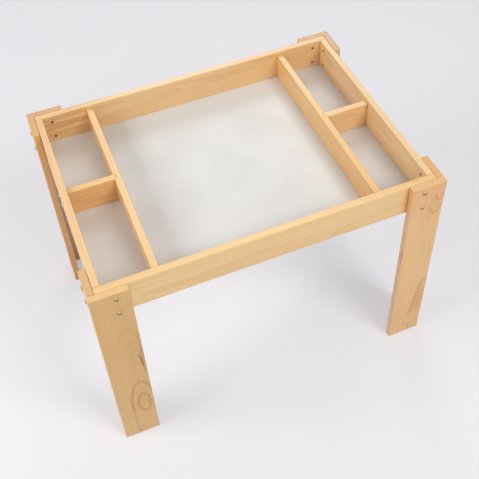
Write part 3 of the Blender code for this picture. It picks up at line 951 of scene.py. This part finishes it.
# Nuts: their height, the share of the width inside the chamfer, the chamfer's slope, how far its cutter
# passes the corners, and the cone at each mouth of the bore
NUT_HEIGHT = 5 * MM
NUT_FLAT = 0.95
NUT_CHAMFER = math.radians(28)
NUT_MARGIN = 0.4 * MM
NUT_LEAD_IN = 0.5 * MM


def dome(radius, height, rim):
    """Outline of a domed head from the middle of its top to its rim."""
    rise = height - rim
    sphere = (radius ** 2 + rise ** 2) / (2 * rise)
    widest = math.asin(radius / sphere)
    angles = [widest * step / DOME_STEPS for step in range(DOME_STEPS + 1)]
    return [(sphere * math.sin(angle), -sphere * (1 - math.cos(angle))) for angle in angles]


def thread(radius, depth, top, bottom, pitch):
    """Outline of thread ridges down a shank."""
    ridges = int((top - bottom) / pitch)
    outline = []
    for ridge in range(ridges):
        height = top - ridge * pitch
        outline += [(radius - depth, height), (radius, height - pitch * (0.5 - HALF_CREST)),
                    (radius, height - pitch * (0.5 + HALF_CREST))]
    return outline + [(radius - depth, top - ridges * pitch)]


def place_copies(template, names, material):
    """Finish a fastener and copy it to each of its places, its head outwards, and drop the template."""
    finish_surface(template)
    for number, name in enumerate(names):
        low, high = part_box(name)
        # A nut lies along its bolt
        axis, outward = long_axis(name.replace("nut_", "bolt_"))
        out = Vector([outward * (index == axis) for index in range(3)])
        seat = (low + high) / 2
        seat[axis] = high[axis] if outward > 0 else low[axis]
        turn = out.to_track_quat("Z", "Y").to_matrix().to_4x4()
        piece = template.copy()
        piece.data = template.data.copy()
        bpy.context.collection.objects.link(piece)
        piece.data.transform(Matrix.Translation(seat) @ turn @ Matrix.Rotation(COPY_TURN * number, 4, "Z"))
        hand_over(piece, name, material)
    drop(template)


def bolt_outline(length):
    """Outline of a round-head bolt, from the middle of its head down to its tip."""
    head = settings().fasteners.bolt_head / 2
    radius = settings().fasteners.bolt_shank / 2
    crest = radius - BOLT_PLAY
    outline = dome(head, BOLT_HEAD_HEIGHT, rim=0.5 * MM)
    outline += [(head, 0.15 * MM - BOLT_HEAD_HEIGHT), (head - 0.2 * MM, -BOLT_HEAD_HEIGHT),
                (radius + 0.1 * MM, -BOLT_HEAD_HEIGHT), (crest, -BOLT_HEAD_HEIGHT - 0.3 * MM)]
    outline += thread(crest, BOLT_THREAD_DEPTH, BOLT_THREAD_LENGTH - length, BOLT_PITCH - length, BOLT_PITCH)
    return outline + [(radius - 0.9 * MM, -length), (0, -length)]


class TABLE_OT_bolts(bpy.types.Operator):
    """Make the sixteen round-head bolts with hexagon sockets"""

    bl_idname = "sensory_table.bolts"
    bl_label = "Bolts"

    def execute(self, context):
        fasteners = settings().fasteners
        for side in ("face", "side"):
            names = nodes_like(f"bolt_*_{side}_*")
            low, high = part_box(names[0])
            bolt = add_turned(bolt_outline(max(high - low)))
            corner = fasteners.socket / math.sqrt(3)
            combine(bolt, [add_rod(2, (0, 0, 0), corner, -SOCKET_DEPTH, OVERCUT, steps=6)])
            axis, _ = long_axis(names[0])
            inside_wood = abs((low + high)[axis] / 2)
            # The inner half of each bolt, whose end shows in a nut's recess, is darkened with painted shade
            zinc = plated_material(f"bolt_zinc_{side}", fasteners.bolt_zinc, (axis, inside_wood))
            place_copies(bolt, names, zinc)
        return {"FINISHED"}


class TABLE_OT_nuts(bpy.types.Operator):
    """Make the sixteen hexagon nuts in their recesses"""

    bl_idname = "sensory_table.nuts"
    bl_label = "Nuts"

    def execute(self, context):
        fasteners = settings().fasteners
        corner = fasteners.nut_width / math.sqrt(3)
        nut = add_rod(2, (0, 0, 0), corner, -NUT_HEIGHT - OVERCUT, OVERCUT, steps=6)
        flat = fasteners.nut_width / 2 * NUT_FLAT
        wide = corner + NUT_MARGIN
        fall = (wide - flat) * math.tan(NUT_CHAMFER)
        chamfers = add_turned([(0, 0), (flat, 0), (wide, -fall),
                               (wide, fall - NUT_HEIGHT), (flat, -NUT_HEIGHT), (0, -NUT_HEIGHT)])
        combine(nut, [chamfers], "INTERSECT")
        radius = fasteners.bolt_shank / 2
        mouth = radius + NUT_LEAD_IN + OVERCUT
        bore = add_turned([(0, OVERCUT), (mouth, OVERCUT), (radius, -NUT_LEAD_IN),
                           (radius, NUT_LEAD_IN - NUT_HEIGHT), (mouth, -NUT_HEIGHT - OVERCUT),
                           (0, -NUT_HEIGHT - OVERCUT)])
        combine(nut, [bore])
        # The nuts' dark plating is painted shade for their recesses
        place_copies(nut, nodes_like("nut_*"), plated_material("nut_zinc", fasteners.nut_zinc))
        return {"FINISHED"}


def make_wood_screws(kind, head, head_height, radius, smooth, thread_depth, pitch, tip, slots):
    """Make all wood screws of one kind. Their slots have half a span, half a width and a depth."""
    names = nodes_like(f"{kind}_screw_*")
    low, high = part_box(names[0])
    length = max(high - low)
    ridges = thread(radius, thread_depth, -head_height - smooth, tip - length, pitch)
    body = add_turned([*head, (radius, -head_height), *ridges, (0, -length)])
    span, width, depth = slots
    combine(body, [add_block((-span, -width, -depth), (span, width, OVERCUT)),
                   add_block((-width, -span, -depth), (width, span, OVERCUT))])
    zinc = plated_material(f"{kind}_screw_zinc", settings().fasteners.screw_zinc)
    place_copies(body, names, zinc)


class TABLE_OT_end_screws(bpy.types.Operator):
    """Make the dome-head screws that hold the cross dividers"""

    bl_idname = "sensory_table.end_screws"
    bl_label = "End Screws"

    def execute(self, context):
        height = 3.4 * MM
        head = dome(5 * MM, height, rim=0.6 * MM) + [(5 * MM, 0.2 * MM - height), (4.8 * MM, -height)]
        make_wood_screws("end", head, height, END_SCREW_RADIUS, smooth=10 * MM, thread_depth=0.6 * MM,
                         pitch=1.8 * MM, tip=5 * MM, slots=(2.6 * MM, 0.6 * MM, 1.8 * MM))
        return {"FINISHED"}


class TABLE_OT_panel_screws(bpy.types.Operator):
    """Make the countersunk screws under the floor panel"""

    bl_idname = "sensory_table.panel_screws"
    bl_label = "Panel Screws"

    def execute(self, context):
        head = [(0, 0), (2.85 * MM, 0), (3 * MM, -0.12 * MM)]
        make_wood_screws("panel", head, 1.8 * MM, PANEL_SCREW_RADIUS, smooth=1 * MM, thread_depth=0.45 * MM,
                         pitch=1.3 * MM, tip=3 * MM, slots=(1.7 * MM, 0.4 * MM, 1 * MM))
        return {"FINISHED"}


# Stage

# Camera, as worked out from the photograph
CAMERA_PLACE = Vector((-402.6, -1196.1, 1768.8)) * MM
CAMERA_TURN = Euler([math.radians(angle) for angle in (44.578, 2.045, -21.986)])
CAMERA_SENSOR = 36
CAMERA_LENS = 61.22
CAMERA_SHIFT = -0.167

FLOOR_SIZE = 30

# Each lamp's place and size, and the point that they all shine at
LAMPS = {
    "key": ((1.15, -2.35, 3.1), 1.5),
    "back": ((0.85, 2.5, 2.9), 1.5),
    "left": ((-2.25, -0.1, 1.95), 1.4),
    "front": ((-0.6, -3.5, 1.3), 2.0),
}
LAMP_AIM = Vector((0, 0, 0.45))


def add_lamp(name, place, size, power):
    begin()
    bpy.ops.object.light_add(type="AREA", location=place)
    lamp = bpy.context.active_object
    lamp.name = f"{name}_lamp"
    lamp.rotation_euler = (LAMP_AIM - Vector(place)).to_track_quat("-Z", "Y").to_euler()
    lamp.data.shape = "SQUARE"
    lamp.data.size = size
    lamp.data.energy = power


def lifted_shader(graph, shader, colour, lift):
    """A shader that shows some of its plain colour to the camera and in reflections, but sheds no light."""
    rays = graph.node("ShaderNodeLightPath").outputs
    seen = graph.math("MAXIMUM", rays["Is Camera Ray"],
                      graph.math("MAXIMUM", rays["Is Glossy Ray"], rays["Is Transmission Ray"]))
    plain = graph.node("ShaderNodeEmission", {"Color": colour, "Strength": 1.0})
    return graph.node("ShaderNodeMixShader", {0: graph.times(seen, lift), 1: shader.outputs[0],
                                              2: plain.outputs[0]}).outputs[0]


class TABLE_OT_stage(bpy.types.Operator):
    """Set the pale floor, the soft lamps and the camera"""

    bl_idname = "sensory_table.stage"
    bl_label = "Stage"

    def execute(self, context):
        stage = settings().stage
        floor_colour = (*stage.floor, 1)
        begin()
        bpy.ops.mesh.primitive_plane_add(size=FLOOR_SIZE)
        floor = context.active_object
        floor.name = "studio_floor"
        material = bpy.data.materials.new("studio_floor")
        graph = cleared_graph(material)
        paper = graph.node("ShaderNodeBsdfDiffuse", {"Color": floor_colour})
        graph.node("ShaderNodeOutputMaterial", {
            "Surface": lifted_shader(graph, paper, floor_colour, stage.lift)})
        floor.data.materials.append(material)
        for name, (place, size) in LAMPS.items():
            add_lamp(name, place, size, getattr(stage, f"{name}_power"))
        world = bpy.data.worlds.new("studio_room")
        room = cleared_graph(world)
        light = room.node("ShaderNodeBackground", {"Color": (1, 1, 1, 1), "Strength": stage.room})
        room.node("ShaderNodeOutputWorld", {"Surface": lifted_shader(room, light, floor_colour, 1.0)})
        context.scene.world = world
        bpy.ops.object.camera_add(location=CAMERA_PLACE, rotation=CAMERA_TURN)
        camera = context.active_object
        camera.name = "table_camera"
        camera.data.sensor_width = CAMERA_SENSOR
        camera.data.lens = CAMERA_LENS
        camera.data.shift_y = CAMERA_SHIFT
        context.scene.camera = camera
        context.scene.view_settings.view_transform = "Standard"
        return {"FINISHED"}


class TABLE_PT_sidebar(bpy.types.Panel):
    """The table's steps and settings"""

    bl_idname = "TABLE_PT_sidebar"
    bl_label = "Sensory Table"
    bl_space_type = "VIEW_3D"
    bl_region_type = "UI"
    bl_category = "Table"

    def draw(self, context):
        for step in STEPS:
            self.layout.operator(step.bl_idname)
        for group in ("pine", "panel", "fasteners", "stage"):
            box = self.layout.box()
            values = getattr(context.scene.sensory_table, group)
            for name in values.__annotations__:
                box.prop(values, name)


GROUPS = (PineSettings, PanelSettings, FastenerSettings, StageSettings, TableSettings)
STEPS = (TABLE_OT_long_rails, TABLE_OT_end_rails, TABLE_OT_dividers, TABLE_OT_legs, TABLE_OT_floor_panel,
         TABLE_OT_bolts, TABLE_OT_nuts, TABLE_OT_end_screws, TABLE_OT_panel_screws, TABLE_OT_stage)


def register():
    for cls in GROUPS + STEPS + (TABLE_PT_sidebar,):
        bpy.utils.register_class(cls)
    bpy.types.Scene.sensory_table = PointerProperty(type=TableSettings)


def unregister():
    del bpy.types.Scene.sensory_table
    for cls in reversed(GROUPS + STEPS + (TABLE_PT_sidebar,)):
        bpy.utils.unregister_class(cls)


def main():
    register()
    bpy.ops.sensory_table.long_rails()
    bpy.ops.sensory_table.end_rails()
    bpy.ops.sensory_table.dividers()
    bpy.ops.sensory_table.legs()
    bpy.ops.sensory_table.floor_panel()
    bpy.ops.sensory_table.bolts()
    bpy.ops.sensory_table.nuts()
    bpy.ops.sensory_table.end_screws()
    bpy.ops.sensory_table.panel_screws()
    bpy.ops.sensory_table.stage()


if __name__ == "__main__":
    main()
